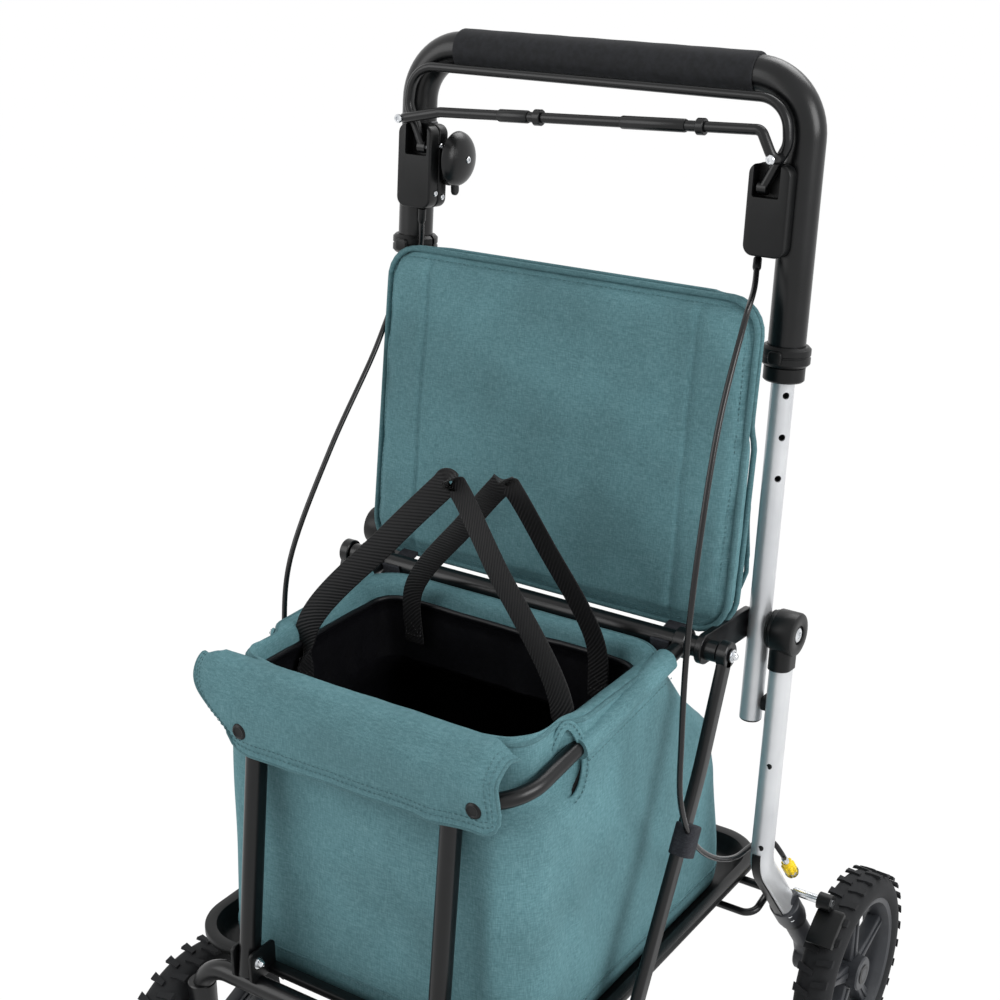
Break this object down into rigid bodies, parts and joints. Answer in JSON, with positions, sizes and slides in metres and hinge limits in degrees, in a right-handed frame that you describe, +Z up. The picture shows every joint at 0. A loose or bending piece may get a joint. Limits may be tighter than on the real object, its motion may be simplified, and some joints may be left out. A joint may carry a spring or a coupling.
{
  "type": "shopping rollator",
  "caption": "Folding shopping rollator: U-shaped push handle with loop brake, open padded seat lid over a cloth bag on a tray, spoked wheels and swivel front casters.",
  "frame": {"origin": "centre of the footprint, on the floor", "axes": "+X is the side at the right of a view from the front, +Z is up, and the walker faces -Y"},
  "size_m": [0.558, 0.631, 0.9772],
  "materials": {
    "silver_tube": "brushed",
    "black_paint": "gloss black powder coat",
    "satin_black": "satin black moulding",
    "foam": "soft foam",
    "tyre": "grey-black rubber",
    "grey_plastic": "dark grey moulding",
    "chrome": "polished",
    "yellow_plastic": "yellow moulding",
    "teal_cloth": "woven melange cloth",
    "dark_cloth": "black lining",
    "webbing": "woven webbing"
  },
  "bodies": {
    "rear_frame": {"lower_leg_right": "silver_tube", "lower_leg_left": "silver_tube", "axle_tube_right": "grey_plastic", "axle_tube_left": "grey_plastic", "pivot_housing_right": "satin_black", "pivot_housing_left": "satin_black", "crossbar_bracket_right": "black_paint", "crossbar_bracket_left": "black_paint", "rear_crossbar": "black_paint", "rear_stay": "black_paint", "cable_adjuster_right": "yellow_plastic", "cable_adjuster_left": "yellow_plastic", "brake_cable_right": "satin_black", "brake_cable_left": "satin_black"},
    "rear_wheel_right": {"rear_tyre_right": "tyre", "rear_hub_right": "grey_plastic"},
    "rear_wheel_left": {"rear_tyre_left": "tyre", "rear_hub_left": "grey_plastic"},
    "brake_shoe_right": {"brake_shoe_right": "satin_black"},
    "brake_shoe_left": {"brake_shoe_left": "satin_black"},
    "handle_tubes": {"upper_tube_right": "silver_tube", "upper_tube_left": "silver_tube", "pivot_flange_right": "satin_black", "pivot_flange_left": "satin_black"},
    "handle_top": {"handle_tube": "black_paint", "foam_grip": "foam", "tube_bush_right": "satin_black", "tube_bush_left": "satin_black", "clip_ring_right": "satin_black", "clip_ring_left": "satin_black", "brake_housing_right": "satin_black", "brake_housing_left": "satin_black", "bell_base": "satin_black", "bell_dome": "chrome"},
    "bell_lever": {"bell_lever": "satin_black"},
    "brake_bar": {"brake_bar": "black_paint", "link_rod": "black_paint"},
    "lid": {"lid_panel": "teal_cloth", "lid_tab_right": "grey_plastic", "lid_tab_left": "grey_plastic", "back_pocket": "teal_cloth"},
    "front_frame": {"brace_right": "black_paint", "brace_left": "black_paint", "foot_bar": "black_paint", "seat_frame": "black_paint", "front_leg_right": "black_paint", "front_leg_left": "black_paint", "front_beam": "black_paint", "tray": "satin_black", "bag": "teal_cloth", "bag_flap": "teal_cloth", "liner": "dark_cloth", "strap_front": "webbing", "strap_rear": "webbing"},
    "caster_right": {"caster_fork_right": "black_paint"},
    "caster_left": {"caster_fork_left": "black_paint"},
    "front_wheel_right": {"front_tyre_right": "tyre", "front_hub_right": "grey_plastic"},
    "front_wheel_left": {"front_tyre_left": "tyre", "front_hub_left": "grey_plastic"}
  },
  "joints": [
    {"name": "frame_fold", "type": "hinge", "parent": "rear_frame", "child": "front_frame", "pos_m": [0, 0.0375, 0.5], "axis": [1, 0, 0], "range_deg": [0, 25], "deforming": ["brake_cable_right", "brake_cable_left"]},
    {"name": "handle_fold", "type": "hinge", "parent": "rear_frame", "child": "handle_tubes", "pos_m": [0, 0.1159, 0.494], "axis": [-1, 0, 0], "range_deg": [0, 39], "deforming": ["brake_cable_right", "brake_cable_left"]},
    {"name": "handle_height", "type": "slide", "parent": "handle_tubes", "child": "handle_top", "axis": [0, 0.0924, 0.9957], "range_m": [-0.108, 0], "deforming": ["brake_cable_right", "brake_cable_left"]},
    {"name": "brake_pull", "type": "hinge", "parent": "handle_top", "child": "brake_bar", "pos_m": [0, 0.12707, 0.87422], "axis": [-1, 0, 0], "range_deg": [-25, 2]},
    {"name": "bell_ring", "type": "hinge", "parent": "handle_top", "child": "bell_lever", "pos_m": [-0.152, 0.15004, 0.862], "axis": [1, 0, 0], "range_deg": [0, 20], "stiffness_Nm_per_rad": 0.05},
    {"name": "lid", "type": "hinge", "parent": "rear_frame", "child": "lid", "pos_m": [0, 0.0375, 0.5], "axis": [1, 0, 0], "range_deg": [0, 98], "deforming": ["strap_front", "strap_rear"]},
    {"name": "rear_wheel_spin_right", "type": "hinge", "parent": "rear_frame", "child": "rear_wheel_right", "pos_m": [0.261, 0.2155, 0.1], "axis": [1, 0, 0], "continuous": true},
    {"name": "brake_shoe_right", "type": "hinge", "parent": "rear_frame", "child": "brake_shoe_right", "pos_m": [0.261, 0.1635, 0.204], "axis": [1, 0, 0], "range_deg": [-0.3, 2.5]},
    {"name": "caster_swivel_right", "type": "hinge", "parent": "front_frame", "child": "caster_right", "pos_m": [0.156, -0.2445, 0.165], "axis": [0, 0, 1], "continuous": true},
    {"name": "front_wheel_spin_right", "type": "hinge", "parent": "caster_right", "child": "front_wheel_right", "pos_m": [0.19, -0.2155, 0.1], "axis": [1, 0, 0], "continuous": true},
    {"name": "rear_wheel_spin_left", "type": "hinge", "parent": "rear_frame", "child": "rear_wheel_left", "pos_m": [-0.261, 0.2155, 0.1], "axis": [1, 0, 0], "continuous": true},
    {"name": "brake_shoe_left", "type": "hinge", "parent": "rear_frame", "child": "brake_shoe_left", "pos_m": [-0.261, 0.1635, 0.204], "axis": [1, 0, 0], "range_deg": [-0.3, 2.5]},
    {"name": "caster_swivel_left", "type": "hinge", "parent": "front_frame", "child": "caster_left", "pos_m": [-0.156, -0.2445, 0.165], "axis": [0, 0, 1], "continuous": true},
    {"name": "front_wheel_spin_left", "type": "hinge", "parent": "caster_left", "child": "front_wheel_left", "pos_m": [-0.19, -0.2155, 0.1], "axis": [1, 0, 0], "continuous": true}
  ],
  "couplings": [
    {"joint": "brake_shoe_right", "follows": "brake_pull", "ratio": -0.1},
    {"joint": "brake_shoe_left", "follows": "brake_pull", "ratio": -0.1}
  ]
}
